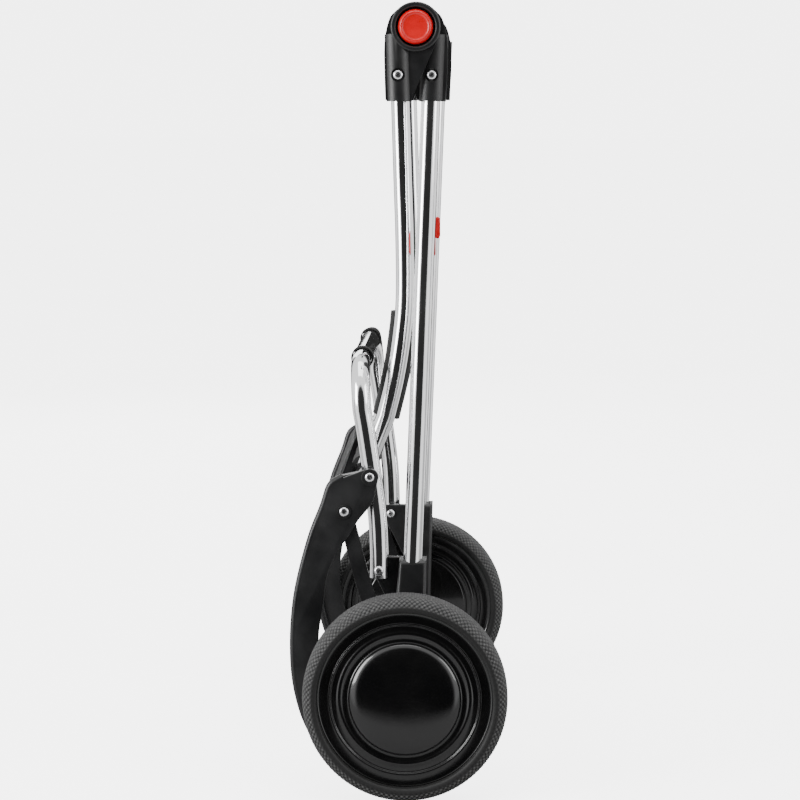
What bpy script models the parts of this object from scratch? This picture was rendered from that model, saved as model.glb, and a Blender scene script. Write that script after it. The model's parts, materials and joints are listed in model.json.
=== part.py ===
"""Folding platform cart, folded: uprights, hinged handle, folding platform, front arms and two wheels.

Metres, +Z up. +X is the cart's left side and -Y is its front. The floor is Z = 0 and X = 0 is the middle.
Side outlines are (y, z) pairs measured from the point on the floor below the axle.
"""

import math

import bmesh
import bpy
from mathutils import Vector

# Overall and shared sizes
WHEEL_RADIUS = 0.100
WHEEL_WIDTH = 0.038
TUBE_RADIUS = 0.0095
FRAME_X = 0.150          # centre plane of the uprights and platform legs
GAP = 0.0003             # between pieces that touch
RUN = 0.001              # beside pieces that move
AXLE_Y = 0.0075          # the axle stands this far behind the middle of the folded cart

# Side view: driving points
HUB = (0.0094, 0.752)
UPRIGHT_FOOT = (0.0015, 0.100)
UPRIGHT_LEAN = 0.0388
HANDLE_LEAN = -0.0313
HANDLE_SET = -0.0186     # the handle legs pass this far in front of the hub
PIVOT = (-0.0270, 0.2154)
ARM_PIVOT = (-0.0355, 0.3101)
LINK_PIVOT = (-0.0607, 0.2759)
PLATFORM_TOP = 0.418
GRIP_BAR = (-0.0450, 0.305)

# Front edge of the arms, from the top down to the foot
ARM_FRONT_EDGE = ((-0.0640, 0.3130), (-0.0773, 0.3035), (-0.0850, 0.2820), (-0.0966, 0.2520),
                  (-0.1074, 0.2120), (-0.1128, 0.1810), (-0.1149, 0.1450), (-0.1129, 0.1090),
                  (-0.1056, 0.0770), (-0.0955, 0.0540), (-0.0840, 0.0370))
FOOT_FRONT = (-0.0800, 0.0330)
FOOT_TILT = math.radians(33.4)   # the arms turn back by this much when the platform opens
FOOT_LENGTH = 0.024

# Hinge hubs
HUB_RADIUS = 0.025
SOCKET_WALL = 0.0025
SOCKET_RIM = 0.003       # plastic in front of and behind the tube
SOCKET_GAP = 0.004       # between the handle's socket and the upright's
SOCKET_BOTTOM = 0.679
SOCKET_DEPTH = 0.042
COVER_THICKNESS = 0.008
BARREL_RADIUS = 0.010
BARREL_WALL = 0.0025
BUTTON_RADIUS = 0.018
BUTTON_THICKNESS = 0.006
BUTTON_TRAVEL = 0.0035
BUTTON_PROUD = 0.0015
STEM_RADIUS = 0.0045
SPRING_WIRE = 0.0005

# Axle and brackets
AXLE_RADIUS = 0.005
AXLE_TUBE_RADIUS = 0.011
BRACKET_TOP = 0.224
BRACKET_RIM = 0.004      # plastic in front of and behind the upright
EAR_THICKNESS = 0.006
EAR_RADIUS = 0.010
CLIP_Z = 0.5365
CLIP_THICKNESS = 0.006

# Arms, links and platform
LINK_THICKNESS = 0.004
LINK_HALF_WIDTH = 0.0075
LINK_BOW = 0.006
ARM_THICKNESS = 0.004
ARM_FLANGE = 0.0045
FLANGE_DEPTH = 0.0045
PANEL_THICKNESS = 0.003
STOP_RUBBER = 0.002
STOP_X = 0.085
LUG_WIDTH = 0.010
FOOT_HEIGHT = 0.010
LOOP_BEND = 0.040
HANDLE_BEND = 0.034
GRIP_FOAM = 0.0045
CRADLE_FOAM = 0.0043
CRADLE_TOP = 0.471
CRADLE_SHIFT = 0.008

# Fasteners
HEAD_RADIUS = 0.00475
HEAD_HEIGHT = 0.0026
NUT_RADIUS = 0.0095
SHANK_RADIUS = 0.0025
SHOULDER_RADIUS = 0.004

# Wheels
TYRE_HEIGHT = 0.014
RIM_WALL = 0.003
RIDGE_INSET = 0.013      # from the rim's edge in to its ridge
CAP_SHARE = 0.55         # hub cap radius as a share of the wheel's
WHEEL_STEP = 0.003       # between the outside of the arms and the wheels
CAP_RISE = 0.009
BEARING_RADIUS = 0.011
BEARING_WIDTH = 0.007
FACE_RECESS = 0.009       # from the tyre's side to the rim faces

HANDLE_X = FRAME_X - 2 * (TUBE_RADIUS + SOCKET_WALL) - SOCKET_GAP   # centre plane of the handle legs
SOCKET_HALF_WIDTH = TUBE_RADIUS + SOCKET_RIM
BRACKET_HALF_WIDTH = TUBE_RADIUS + BRACKET_RIM
GRIP_RADIUS = TUBE_RADIUS + GRIP_FOAM
CRADLE_RADIUS = TUBE_RADIUS + CRADLE_FOAM
RIM_RADIUS = WHEEL_RADIUS - TYRE_HEIGHT
RIDGE_RADIUS = RIM_RADIUS - RIDGE_INSET
CAP_RADIUS = WHEEL_RADIUS * CAP_SHARE

UPRIGHT_INNER = FRAME_X - TUBE_RADIUS - SOCKET_WALL
UPRIGHT_OUTER = FRAME_X + TUBE_RADIUS + SOCKET_WALL
HANDLE_INNER = HANDLE_X - TUBE_RADIUS - SOCKET_WALL
HANDLE_OUTER = HANDLE_X + TUBE_RADIUS + SOCKET_WALL
COVER_INNER = UPRIGHT_OUTER + RUN
COVER_OUTER = COVER_INNER + COVER_THICKNESS
BUTTON_OUTER = COVER_OUTER + BUTTON_PROUD
LINK_INNER = FRAME_X + TUBE_RADIUS + RUN
LINK_OUTER = LINK_INNER + LINK_THICKNESS
ARM_INNER = LINK_OUTER + RUN
ARM_OUTER = ARM_INNER + ARM_THICKNESS
WHEEL_INNER = ARM_OUTER + WHEEL_STEP
WHEEL_X = WHEEL_INNER + WHEEL_WIDTH / 2
WHEEL_OUTER = WHEEL_INNER + WHEEL_WIDTH

SIDES = (("left", 1), ("right", -1))
ROUND = 28
SCREW_ROUND = 12

for old in list(bpy.data.objects):
    bpy.data.objects.remove(old, do_unlink=True)

parts = bpy.data.collections.new("folding_platform_cart")
guides = bpy.data.collections.new("cutters")
bpy.context.scene.collection.children.link(parts)
bpy.context.scene.collection.children.link(guides)


def material(name, colour, roughness, metallic):
    """A plain Principled material."""
    made = bpy.data.materials.new(name)
    made.use_nodes = True
    shader = made.node_tree.nodes["Principled BSDF"]
    shader.inputs["Base Color"].default_value = (*colour, 1)
    shader.inputs["Roughness"].default_value = roughness
    shader.inputs["Metallic"].default_value = metallic
    made.diffuse_color = (*colour, 1)
    return made


ALUMINIUM = material("polished_aluminium", (0.80, 0.80, 0.82), 0.18, 1)
STEEL = material("bright_steel", (0.70, 0.71, 0.73), 0.25, 1)
BLACK = material("black_plastic", (0.020, 0.020, 0.022), 0.45, 0)
GLOSS = material("gloss_black_plastic", (0.010, 0.010, 0.011), 0.12, 0)
RUBBER = material("tyre_rubber", (0.035, 0.035, 0.036), 0.80, 0)
FOAM = material("grip_foam", (0.018, 0.018, 0.018), 0.90, 0)
RED = material("red_plastic", (0.75, 0.02, 0.02), 0.30, 0)


def add(name, data, finish, group=parts):
    """Put a mesh or a curve in the scene as a named piece."""
    piece = bpy.data.objects.new(name, data)
    group.objects.link(piece)
    if finish is not None:
        data.materials.append(finish)
    return piece


def place(y, z, x=0.0):
    """World point of a side-view point."""
    return Vector((x, y + AXLE_Y, z))


def along(foot, lean, z):
    """Y of a leaning straight tube at height z."""
    return foot[0] + lean * (z - foot[1])


def upright_y(z):
    return along(UPRIGHT_FOOT, UPRIGHT_LEAN, z)


def handle_y(z):
    return along((HUB[0] + HANDLE_SET, HUB[1]), HANDLE_LEAN, z)


def arc(centre, radius, start, end, steps):
    """Points on an arc, angles in degrees."""
    points = []
    for step in range(steps + 1):
        angle = math.radians(start + (end - start) * step / steps)
        points.append((centre[0] + radius * math.cos(angle), centre[1] + radius * math.sin(angle)))
    return points


def smooth(points, steps):
    """A smooth curve through the given points (Catmull-Rom)."""
    spread = [Vector(point) for point in points]
    ends = [2 * spread[0] - spread[1]] + spread + [2 * spread[-1] - spread[-2]]
    route = []
    for index in range(1, len(ends) - 2):
        before, start, end, after = ends[index - 1:index + 3]
        for step in range(steps):
            t = step / steps
            route.append(0.5 * (2 * start + (end - before) * t
                                + (2 * before - 5 * start + 4 * end - after) * t * t
                                + (3 * start - before - 3 * end + after) * t ** 3))
    route.append(spread[-1])
    return route


def fillet(before, corner, after, radius, steps):
    """Points of a bend that replaces a corner of a route."""
    back = (before - corner).normalized()
    ahead = (after - corner).normalized()
    half = back.angle(ahead) / 2
    middle = corner + (back + ahead).normalized() * radius / math.sin(half)
    start = corner + back * radius / math.tan(half) - middle
    end = corner + ahead * radius / math.tan(half) - middle
    turn = math.pi - 2 * half
    aside = (end - end.project(start)).normalized() * radius
    return [middle + start * math.cos(turn * step / steps) + aside * math.sin(turn * step / steps)
            for step in range(steps + 1)]


def tangent_angle(centre, radius, point, turn):
    """Angle on a circle where the tangent from an outside point touches it."""
    dy = point[0] - centre[0]
    dz = point[1] - centre[1]
    return math.degrees(math.atan2(dz, dy) + turn * math.acos(radius / math.hypot(dy, dz)))


def plate(name, outline, inner, outer, side, finish, holes=(), group=parts):
    """A flat piece in the side plane, between two distances from the middle."""
    flat = bpy.data.curves.new(name, "CURVE")
    flat.dimensions = "2D"
    flat.fill_mode = "BOTH"
    flat.extrude = (outer - inner) / 2
    for loop in (outline, *holes):
        spline = flat.splines.new("POLY")
        spline.points.add(len(loop) - 1)
        for point, (y, z) in zip(spline.points, loop):
            point.co = (y + AXLE_Y, z, 0, 1)
        spline.use_cyclic_u = True
    piece = add(name, flat, finish, group)
    piece.location = (side * (outer + inner) / 2, 0, 0)
    piece.rotation_euler = (math.pi / 2, 0, math.pi / 2)
    return piece


def tube(name, route, radius, finish, group=parts, resolution=4):
    """A round bar along a route of points."""
    path = bpy.data.curves.new(name, "CURVE")
    path.dimensions = "3D"
    path.bevel_depth = radius
    path.bevel_resolution = resolution
    path.use_fill_caps = True
    spline = path.splines.new("POLY")
    spline.points.add(len(route) - 1)
    for point, spot in zip(spline.points, route):
        point.co = (*spot, 1)
    return add(name, path, finish, group)


def turned(name, profile, centre, side, finish, closed, steps=ROUND, group=parts):
    """A turned piece on an X axis: profile is (radius, height outboard)."""
    mesh = bpy.data.meshes.new(name)
    shape = bmesh.new()
    spots = [shape.verts.new((radius, 0, height)) for radius, height in profile]
    for start, end in zip(spots, spots[1:]):
        shape.edges.new((start, end))
    if closed:
        shape.edges.new((spots[-1], spots[0]))
    shape.to_mesh(mesh)
    shape.free()
    piece = add(name, mesh, finish, group)
    piece.location = centre
    piece.rotation_euler = (0, side * math.pi / 2, 0)
    screw = piece.modifiers.new("turn", "SCREW")
    screw.steps = steps
    screw.render_steps = steps
    screw.use_merge_vertices = True
    screw.merge_threshold = 0.00001
    screw.use_smooth_shade = True
    return piece


def as_mesh(piece):
    """Turn a curve piece into a welded mesh piece."""
    bpy.context.view_layer.update()
    solid = bpy.data.meshes.new_from_object(piece.evaluated_get(bpy.context.evaluated_depsgraph_get()))
    welded = bmesh.new()
    welded.from_mesh(solid)
    bmesh.ops.remove_doubles(welded, verts=welded.verts, dist=0.00001)
    welded.to_mesh(solid)
    welded.free()
    name = piece.name
    group = piece.users_collection[0]
    where = piece.matrix_world.copy()
    bpy.data.objects.remove(piece, do_unlink=True)
    made = bpy.data.objects.new(name, solid)
    group.objects.link(made)
    made.matrix_world = where
    return made


def combine(piece, tool, operation="DIFFERENCE"):
    """Cut or join a piece with a guide piece."""
    change = piece.modifiers.new(operation.lower(), "BOOLEAN")
    change.operation = operation
    change.object = tool
    change.solver = "EXACT"
    tool.hide_render = True
    tool.display_type = "WIRE"


def guide_tube(name, route, radius, resolution=5):
    return as_mesh(tube(name, route, radius, None, guides, resolution))


def rod(radius, low, high):
    """Profile of a solid round bar."""
    return [(0, high), (radius, high), (radius, low), (0, low)]


def ring(outer, inner, low, high):
    """Profile of a round sleeve."""
    return [(outer, high), (outer, low), (inner, low), (inner, high)]


def screw_profile(length, head_radius=HEAD_RADIUS, shank=SHANK_RADIUS):
    """Button head screw: the head stands on height 0 and the shank hangs below."""
    dome = [(0, HEAD_HEIGHT)]
    dome += [(head_radius * math.sin(angle), HEAD_HEIGHT * (0.25 + 0.75 * math.cos(angle)))
             for angle in (math.radians(30), math.radians(60), math.radians(90))]
    return dome + [(head_radius, 0), (shank, 0), (shank, -length), (0, -length)]


def upright_route(low, high, x):
    return [place(upright_y(low), low, x), place(upright_y(high), high, x)]


def build_uprights():
    for name, side in SIDES:
        top = SOCKET_BOTTOM + SOCKET_DEPTH - RUN
        bottom = BRACKET_TOP - SOCKET_DEPTH + RUN
        as_mesh(tube(name + "_upright", upright_route(bottom, top, side * FRAME_X), TUBE_RADIUS, ALUMINIUM))


def socket_outline(column, half_width):
    """Hub disc that runs down into a tube socket, in the side plane."""
    base = column(SOCKET_BOTTOM)
    front = (base - half_width, SOCKET_BOTTOM)
    rear = (base + half_width, SOCKET_BOTTOM)
    first = tangent_angle(HUB, HUB_RADIUS, rear, 1)
    last = tangent_angle(HUB, HUB_RADIUS, front, -1) + 360
    corner = 0.003
    return ([(front[0], front[1] + corner), (front[0] + corner, front[1]),
             (rear[0] - corner, rear[1]), (rear[0], rear[1] + corner)]
            + arc(HUB, HUB_RADIUS, first, last, 28))


def screw_spot(column):
    """Where the clamp screw crosses a tube socket."""
    height = SOCKET_BOTTOM + 0.026
    return place(column(height), height)


def build_sockets():
    """Inboard and outboard knuckles of both hinge hubs."""
    hub = place(*HUB)
    for name, side in SIDES:
        fixed = as_mesh(plate(name + "_upright_socket", socket_outline(upright_y, SOCKET_HALF_WIDTH),
                              UPRIGHT_INNER, UPRIGHT_OUTER, side, BLACK,
                              [arc(HUB, BARREL_RADIUS + RUN, 360, 0, 28)[:-1]]))
        bore = guide_tube(name + "_upright_bore",
                          upright_route(SOCKET_BOTTOM - 0.01, SOCKET_BOTTOM + SOCKET_DEPTH, side * FRAME_X),
                          TUBE_RADIUS + GAP)
        combine(fixed, bore)
        moving = as_mesh(plate(name + "_handle_socket", socket_outline(handle_y, SOCKET_HALF_WIDTH),
                               HANDLE_INNER, HANDLE_OUTER, side, BLACK))
        legs = [place(handle_y(z), z, side * HANDLE_X)
                for z in (SOCKET_BOTTOM - 0.01, SOCKET_BOTTOM + SOCKET_DEPTH)]
        combine(moving, guide_tube(name + "_handle_bore", legs, TUBE_RADIUS + GAP))
        plate(name + "_hinge_cover", socket_outline(handle_y, SOCKET_HALF_WIDTH), COVER_INNER, COVER_OUTER,
              side, BLACK, [arc(HUB, BUTTON_RADIUS + RUN / 2, 360, 0, 32)[:-1]])
        start = HANDLE_OUTER + GAP
        floor = start + 0.006
        end = COVER_INNER - GAP
        profile = [(0, floor), (BARREL_RADIUS - BARREL_WALL, floor), (BARREL_RADIUS - BARREL_WALL, end),
                   (BARREL_RADIUS, end), (BARREL_RADIUS, start), (0, start)]
        turned(name + "_hinge_barrel", profile, hub, side, STEEL, False, 28)
        for column, label, face in ((upright_y, "_socket_screw", UPRIGHT_OUTER),
                                    (handle_y, "_cover_screw", COVER_OUTER)):
            seat = screw_spot(column)
            sunk = 0.0024
            centre = seat + Vector((side * (face - sunk), 0, 0))
            owner = fixed if label == "_socket_screw" else bpy.data.objects[name + "_hinge_cover"]
            if owner.type == "CURVE":
                owner = as_mesh(owner)
            recess = turned(name + label + "_recess", rod(HEAD_RADIUS + 0.0013, -GAP, 0.02), centre, side,
                            None, False, 12, guides)
            combine(owner, recess)
            length = 0.0015
            hole = turned(name + label + "_hole", rod(SHANK_RADIUS + GAP, -length - GAP, 0.01), centre, side,
                          None, False, 12, guides)
            combine(owner, hole)
            if owner == fixed:
                combine(bpy.data.objects[name + "_upright"], hole)
            turned(name + label, screw_profile(length), centre, side, STEEL, False, SCREW_ROUND)


def build_buttons():
    """Red release buttons, each with a stem and a return spring inside the barrel."""
    hub = place(*HUB)
    floor = HANDLE_OUTER + GAP + 0.006
    back = BUTTON_OUTER - BUTTON_THICKNESS
    for name, side in SIDES:
        rim = 0.0022
        inner = BUTTON_RADIUS - 0.005
        profile = [(0, BUTTON_OUTER - 0.0008), (inner, BUTTON_OUTER - 0.0008), (inner + 0.0008, BUTTON_OUTER),
                   (BUTTON_RADIUS - rim, BUTTON_OUTER), (BUTTON_RADIUS, BUTTON_OUTER - rim),
                   (BUTTON_RADIUS, back), (STEM_RADIUS, back), (STEM_RADIUS, floor + BUTTON_TRAVEL + RUN),
                   (0, floor + BUTTON_TRAVEL + RUN)]
        turned(name + "_button", profile, hub, side, RED, False, 32)
        turns = 4
        samples = 7
        coil = (STEM_RADIUS + BARREL_RADIUS - BARREL_WALL) / 2
        low = floor + SPRING_WIRE + GAP
        high = back - SPRING_WIRE - GAP
        route = []
        for step in range(turns * samples + 1):
            angle = 2 * math.pi * step / samples
            x = low + (high - low) * step / (turns * samples)
            route.append(hub + Vector((side * x, coil * math.cos(angle), coil * math.sin(angle))))
        tube(name + "_button_spring", route, SPRING_WIRE, STEEL, resolution=1)


def handle_route():
    """Handle loop: two legs and a crossbar with bent corners."""
    side_points = [(handle_y(z), z) for z in (SOCKET_BOTTOM + SOCKET_DEPTH - RUN, 0.60, 0.54)]
    side_points += [(-0.0023, 0.482), (-0.0057, 0.443), (-0.0121, 0.403), (-0.0217, 0.363)]
    leg = [place(point.x, point.y, HANDLE_X) for point in smooth([Vector(p) for p in side_points], 3)]
    corner = place(*GRIP_BAR, HANDLE_X)
    across = place(*GRIP_BAR, 0)
    bend = fillet(leg[-1], corner, across, HANDLE_BEND, 8)
    half = leg + bend
    other = [Vector((-spot.x, spot.y, spot.z)) for spot in reversed(half)]
    return half + other, leg


def build_handle():
    route, leg = handle_route()
    tube("handle_loop", route, TUBE_RADIUS, ALUMINIUM)
    reach = HANDLE_X - HANDLE_BEND - 0.004
    bar = place(*GRIP_BAR)
    turned("handle_grip", ring(GRIP_RADIUS, TUBE_RADIUS + GAP, -reach, reach), bar, 1, FOAM, True, 28)
    cradle = [spot - Vector((CRADLE_SHIFT, 0, 0)) for spot in leg if spot.z < CRADLE_TOP]
    for name, side in SIDES:
        line = [Vector((side * spot.x, spot.y, spot.z)) for spot in cradle]
        backing = as_mesh(tube(name + "_leg_cradle", line, CRADLE_RADIUS, FOAM, resolution=4))
        cut = [Vector((side * spot.x, spot.y, spot.z)) for spot in leg]
        last = cut[-1] + (cut[-1] - cut[-2])
        combine(backing, guide_tube(name + "_cradle_cut", cut + [last], TUBE_RADIUS + GAP, 5))


def platform_route():
    side_points = [(PIVOT[0], PIVOT[1] - 0.008), (PIVOT[0], PIVOT[1] + 0.02), (-0.0294, 0.275),
                   (-0.0389, 0.343), (-0.0440, PLATFORM_TOP - LOOP_BEND - 0.004)]
    leg = [place(point.x, point.y, FRAME_X) for point in smooth([Vector(p) for p in side_points], 2)]
    top_y = -0.0470
    bend = fillet(leg[-1], place(top_y, PLATFORM_TOP, FRAME_X), place(top_y, PLATFORM_TOP, 0), LOOP_BEND, 9)
    half = leg + bend
    return half + [Vector((-spot.x, spot.y, spot.z)) for spot in reversed(half)], place(top_y, PLATFORM_TOP)


def build_platform():
    route, top = platform_route()
    loop = as_mesh(tube("platform_loop", route, TUBE_RADIUS, ALUMINIUM))
    for name, side in SIDES:
        for label, spot, shank in (("_pivot", PIVOT, SHANK_RADIUS), ("_shoulder", ARM_PIVOT, SHOULDER_RADIUS)):
            drill = turned(name + label + "_drill", rod(shank + GAP, -0.02, 0.02),
                           place(*spot, side * FRAME_X), side, None, False, 12, guides)
            combine(loop, drill)
        head = FRAME_X + TUBE_RADIUS + GAP
        turned(name + "_platform_pivot_screw", screw_profile(head - UPRIGHT_INNER + EAR_THICKNESS + 0.003),
               place(*PIVOT, side * head), side, STEEL, False, SCREW_ROUND)
        turned(name + "_arm_screw", arm_screw_profile(), place(*ARM_PIVOT, side * (ARM_OUTER + GAP)), side,
               STEEL, False, SCREW_ROUND)
        stop = ring(TUBE_RADIUS + STOP_RUBBER, TUBE_RADIUS + GAP, -0.005, 0.005)
        turned(name + "_platform_stop", stop, top + Vector((side * STOP_X, 0, 0)), side, FOAM, True, 24)


def arm_screw_profile():
    """Shoulder screw: thin in the arm plate, thick through the platform leg."""
    step = ARM_OUTER + GAP - (FRAME_X - TUBE_RADIUS)
    return screw_profile(step + 0.002, shank=0.0035)


def arm_outline():
    """Curved front arm: boss at the platform, hooked top, long bowed leg and a foot end."""
    outer = smooth(ARM_FRONT_EDGE, 3)
    inner = smooth([(-0.0620, 0.0500), (-0.0740, 0.0780), (-0.0840, 0.115), (-0.0860, 0.150), (-0.0812, 0.1855),
                    (-0.0770, 0.214), (-0.0667, 0.237), (-0.0560, 0.252), (-0.0478, 0.266), (-0.0330, 0.285),
                    (-0.0290, 0.300)], 3)
    boss = arc(ARM_PIVOT, 0.0085, -20, 110, 8)
    return [tuple(point) for point in outer + inner] + boss


def flange_outline():
    """A strip along the arm's outer edge."""
    edge = smooth(ARM_FRONT_EDGE, 3)
    inside = []
    for index, point in enumerate(edge):
        heading = edge[min(index + 1, len(edge) - 1)] - edge[max(index - 1, 0)]
        across = Vector((-heading.y, heading.x)).normalized()
        inside.append(point + across * FLANGE_DEPTH)
    return [tuple(point) for point in edge + inside[::-1]]


def foot_outline():
    """Rubber foot: its sole lies flat on the floor when the cart is open."""
    front = Vector(FOOT_FRONT)
    sole = Vector((math.cos(FOOT_TILT), math.sin(FOOT_TILT)))
    rise = Vector((-math.sin(FOOT_TILT), math.cos(FOOT_TILT)))
    rear = front + sole * FOOT_LENGTH
    return [tuple(front), tuple(rear), tuple(rear + rise * FOOT_HEIGHT), tuple(front + rise * FOOT_HEIGHT)]


def build_arms():
    link_hole = [arc(LINK_PIVOT, SHANK_RADIUS + GAP, 360, 0, 14)[:-1]]
    arm_hole = [arc(ARM_PIVOT, 0.0035 + GAP, 360, 0, 14)[:-1]]
    for name, side in SIDES:
        arm = as_mesh(plate(name + "_arm", arm_outline(), ARM_INNER, ARM_OUTER, side, BLACK,
                            link_hole + arm_hole))
        foot = foot_outline()
        plate(name + "_foot", foot, ARM_INNER - 0.006, ARM_OUTER, side, RUBBER)
        clear = [Vector(point) for point in foot]
        rise = (clear[3] - clear[0]).normalized()
        along_sole = (clear[1] - clear[0]).normalized()
        below = [clear[3] + rise * GAP - along_sole * 0.03, clear[2] + rise * GAP + along_sole * 0.03,
                 clear[2] - rise * 0.05 + along_sole * 0.03, clear[3] - rise * 0.05 - along_sole * 0.03]
        trim = as_mesh(plate(name + "_foot_trim", [tuple(point) for point in below], ARM_INNER - 0.03,
                             ARM_OUTER + 0.03, side, None, group=guides))
        flange = as_mesh(plate(name + "_arm_flange", flange_outline(), ARM_INNER - ARM_FLANGE,
                               ARM_INNER + ARM_THICKNESS / 2, side, None, group=guides))
        combine(arm, flange, "UNION")
        combine(arm, trim)
        turned(name + "_link_screw", screw_profile(ARM_THICKNESS - GAP),
               place(*LINK_PIVOT, side * (ARM_OUTER + GAP)), side, STEEL, False, SCREW_ROUND)


def build_panel():
    """Bent cross panel between the arms, held on the platform legs by two lugs."""
    rear = Vector((-0.0660, 0.3105))
    front = Vector((-0.0735, 0.3010))
    low = Vector((-0.0805, 0.2800))
    thick = PANEL_THICKNESS
    outline = [rear, front, low, low + Vector((thick, 0.001)), front + Vector((thick, -0.0012)),
               rear + Vector((0.0022, -0.0022))]
    width = FRAME_X + TUBE_RADIUS
    panel = as_mesh(plate("platform_panel", [tuple(point) for point in outline], -width, width, 1, BLACK))
    lug = [tuple(rear + Vector((0.0010, -0.0020))), tuple(front + Vector((0.0015, -0.0010))),
           (ARM_PIVOT[0], ARM_PIVOT[1] - 0.022), (ARM_PIVOT[0] - 0.003, ARM_PIVOT[1] + 0.004)]
    route = platform_route()[0]
    for name, side in SIDES:
        saddle = as_mesh(plate(name + "_panel_lug", lug, FRAME_X - LUG_WIDTH / 2, FRAME_X + LUG_WIDTH / 2, side,
                               None, group=guides))
        combine(panel, saddle, "UNION")
    combine(panel, guide_tube("panel_saddle", route, TUBE_RADIUS + GAP))


def build_links():
    """Bowed bars from the axle to the arms, outside the platform legs."""
    axle = Vector((0.0, WHEEL_RADIUS))
    end = Vector(LINK_PIVOT)
    line = (end - axle).normalized()
    across = Vector((-line.y, line.x))
    middle = (axle + end) / 2 + across * LINK_BOW
    centre = smooth([axle, middle, end], 6)
    tilt = math.degrees(math.atan2(line.y, line.x))
    right = [point - across * LINK_HALF_WIDTH for point in centre[1:-1]]
    left = [point + across * LINK_HALF_WIDTH for point in centre[1:-1]]
    outline = [tuple(point) for point in right]
    outline += arc(end, LINK_HALF_WIDTH, tilt - 80, tilt + 80, 8)
    outline += [tuple(point) for point in reversed(left)]
    outline += arc(axle, AXLE_RADIUS + 0.005, tilt + 70, tilt + 290, 12)
    holes = [arc(axle, AXLE_RADIUS + GAP, 360, 0, 20)[:-1], arc(end, SHANK_RADIUS + GAP, 360, 0, 14)[:-1]]
    for name, side in SIDES:
        plate(name + "_link", outline, LINK_INNER, LINK_OUTER, side, BLACK, holes)


def build_brackets():
    """Axle brackets: a tube socket above the axle and a thin ear to the platform pivot."""
    axle = (0.0, WHEEL_RADIUS)
    boss = 0.017
    half = BRACKET_HALF_WIDTH
    for name, side in SIDES:
        top = upright_y(BRACKET_TOP)
        column = [(top - half, BRACKET_TOP), (top + half, BRACKET_TOP)]
        first = tangent_angle(axle, boss, column[1], -1)
        last = tangent_angle(axle, boss, column[0], 1)
        outline = [column[1], column[0]] + arc(axle, boss, last, first + 360, 20)
        body = as_mesh(plate(name + "_axle_bracket", outline, UPRIGHT_INNER - EAR_THICKNESS, FRAME_X
                             + TUBE_RADIUS, side, BLACK, [arc(axle, AXLE_RADIUS + GAP, 360, 0, 20)[:-1]]))
        ear_end = PIVOT
        ear = [(top, BRACKET_TOP - 0.0005)] + arc(ear_end, EAR_RADIUS, 80, 240, 10) + [(-0.004, 0.150), (top, 0.150)]
        ear_plate = as_mesh(plate(name + "_ear", ear, UPRIGHT_INNER - EAR_THICKNESS, UPRIGHT_INNER + 0.0015,
                                  side, None, group=guides))
        combine(body, ear_plate, "UNION")
        pin = turned(name + "_ear_drill", rod(SHANK_RADIUS + GAP, -0.03, 0.03), place(*PIVOT, side * FRAME_X),
                     side, None, False, 12, guides)
        combine(body, pin)
        combine(body, guide_tube(name + "_bracket_bore",
                                 upright_route(BRACKET_TOP - SOCKET_DEPTH, BRACKET_TOP + 0.01, side * FRAME_X),
                                 TUBE_RADIUS + GAP))


def build_strap_clips():
    """Red clips for the load strap, on the inner side of the uprights."""
    near = FRAME_X - TUBE_RADIUS - GAP
    hook = [(upright_y(CLIP_Z) + dy, CLIP_Z + dz) for dy, dz in
            ((-0.002, -0.009), (0.0075, -0.0125), (0.0100, -0.0095), (0.0100, 0.0095), (0.0075, 0.0125),
             (-0.002, 0.009))]
    for name, side in SIDES:
        plate(name + "_strap_clip", hook, near - CLIP_THICKNESS, near, side, RED)


def build_axle():
    axle = place(0.0, WHEEL_RADIUS)
    nut = 0.006
    end = WHEEL_OUTER - 0.002
    turned("axle", rod(AXLE_RADIUS, -end, end), axle, 1, STEEL, False, 24)
    reach = UPRIGHT_INNER - EAR_THICKNESS - GAP
    turned("axle_tube", ring(AXLE_TUBE_RADIUS, AXLE_RADIUS + GAP, -reach, reach), axle, 1, BLACK, True, 24)
    for name, side in SIDES:
        collar = ring(0.0085, AXLE_RADIUS + GAP, LINK_OUTER + GAP, WHEEL_INNER + 0.0015)
        turned(name + "_axle_collar", collar, axle, side, STEEL, True, 24)
        hexagon = arc((0.0, WHEEL_RADIUS), NUT_RADIUS, 0, 360, 6)[:-1]
        hole = arc((0.0, WHEEL_RADIUS), AXLE_RADIUS + GAP, 360, 0, 20)[:-1]
        plate(name + "_axle_nut", hexagon, end - nut - 0.001, end - 0.001, side, STEEL, [hole])


def rim_face(centre_rise):
    """Face of a rim half, from the hub to the lip: (radius, height above the middle plane)."""
    half = WHEEL_WIDTH / 2
    base = half - FACE_RECESS
    return [(BEARING_RADIUS + 0.003, base + centre_rise), (0.35 * WHEEL_RADIUS, base + centre_rise * 0.7),
            (CAP_RADIUS - 0.001, base), (CAP_RADIUS + 0.003, base - 0.001), (RIDGE_RADIUS - 0.007, base),
            (RIDGE_RADIUS - 0.004, half - 0.006), (RIDGE_RADIUS, half - 0.0055), (RIDGE_RADIUS + 0.003, half - 0.008),
            (RIM_RADIUS - 0.005, half - 0.0065), (RIM_RADIUS - 0.001, half - 0.0012), (RIM_RADIUS, half - 0.0015)]


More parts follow.
